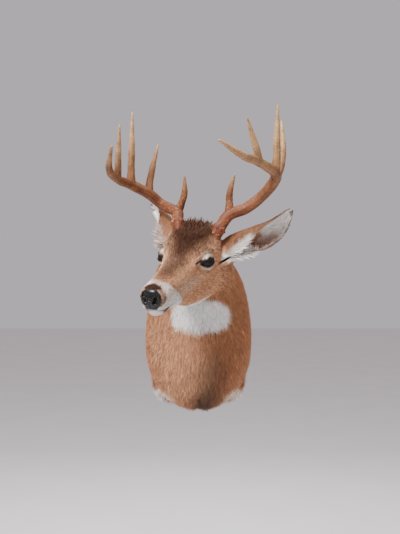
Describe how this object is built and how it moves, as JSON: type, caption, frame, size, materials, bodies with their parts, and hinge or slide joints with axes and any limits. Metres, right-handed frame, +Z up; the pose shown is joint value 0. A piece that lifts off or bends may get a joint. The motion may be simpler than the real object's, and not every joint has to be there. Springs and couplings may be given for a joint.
{
  "type": "deer shoulder mount",
  "caption": "Whitetail buck shoulder mount: antlered head turned to one side, neck and shoulders cut flat to hang on a wall.",
  "frame": {"origin": "on the back face of the backboard, on its middle line and close to its centre, where the wall is", "axes": "+Z up, +Y into the wall, so the buck looks out along -Y with its head turned toward -X; +X is the buck's own left"},
  "size_m": [0.4262, 0.5977, 0.7247],
  "materials": {
    "hide": "tanned hide with short reddish-brown winter hair, white at throat, muzzle and ears",
    "nose": "bare, pebbled black nose skin, semi-gloss",
    "eye": "glossy dark brown glass eye",
    "antler": "satin bone, dark reddish brown and pearled at the burr, cream at the tips",
    "board": "plain plywood, unfinished"
  },
  "bodies": {
    "root": {"shoulders": "hide", "neck": "hide", "head": "hide", "chin": "hide", "ear_left": "hide", "ear_right": "hide", "nose": "nose", "eye_left": "eye", "eye_right": "eye", "backboard": "board", "antler_left_base": "antler", "antler_left_lower_beam": "antler", "antler_left_middle_beam": "antler", "antler_left_upper_beam": "antler", "antler_left_beam_tip": "antler", "antler_left_tine_1": "antler", "antler_left_tine_2": "antler", "antler_left_tine_3": "antler", "antler_left_tine_4": "antler", "antler_right_base": "antler", "antler_right_lower_beam": "antler", "antler_right_middle_beam": "antler", "antler_right_upper_beam": "antler", "antler_right_beam_tip": "antler", "antler_right_tine_1": "antler", "antler_right_tine_2": "antler", "antler_right_tine_3": "antler", "antler_right_tine_4": "antler"}
  },
  "joints": []
}
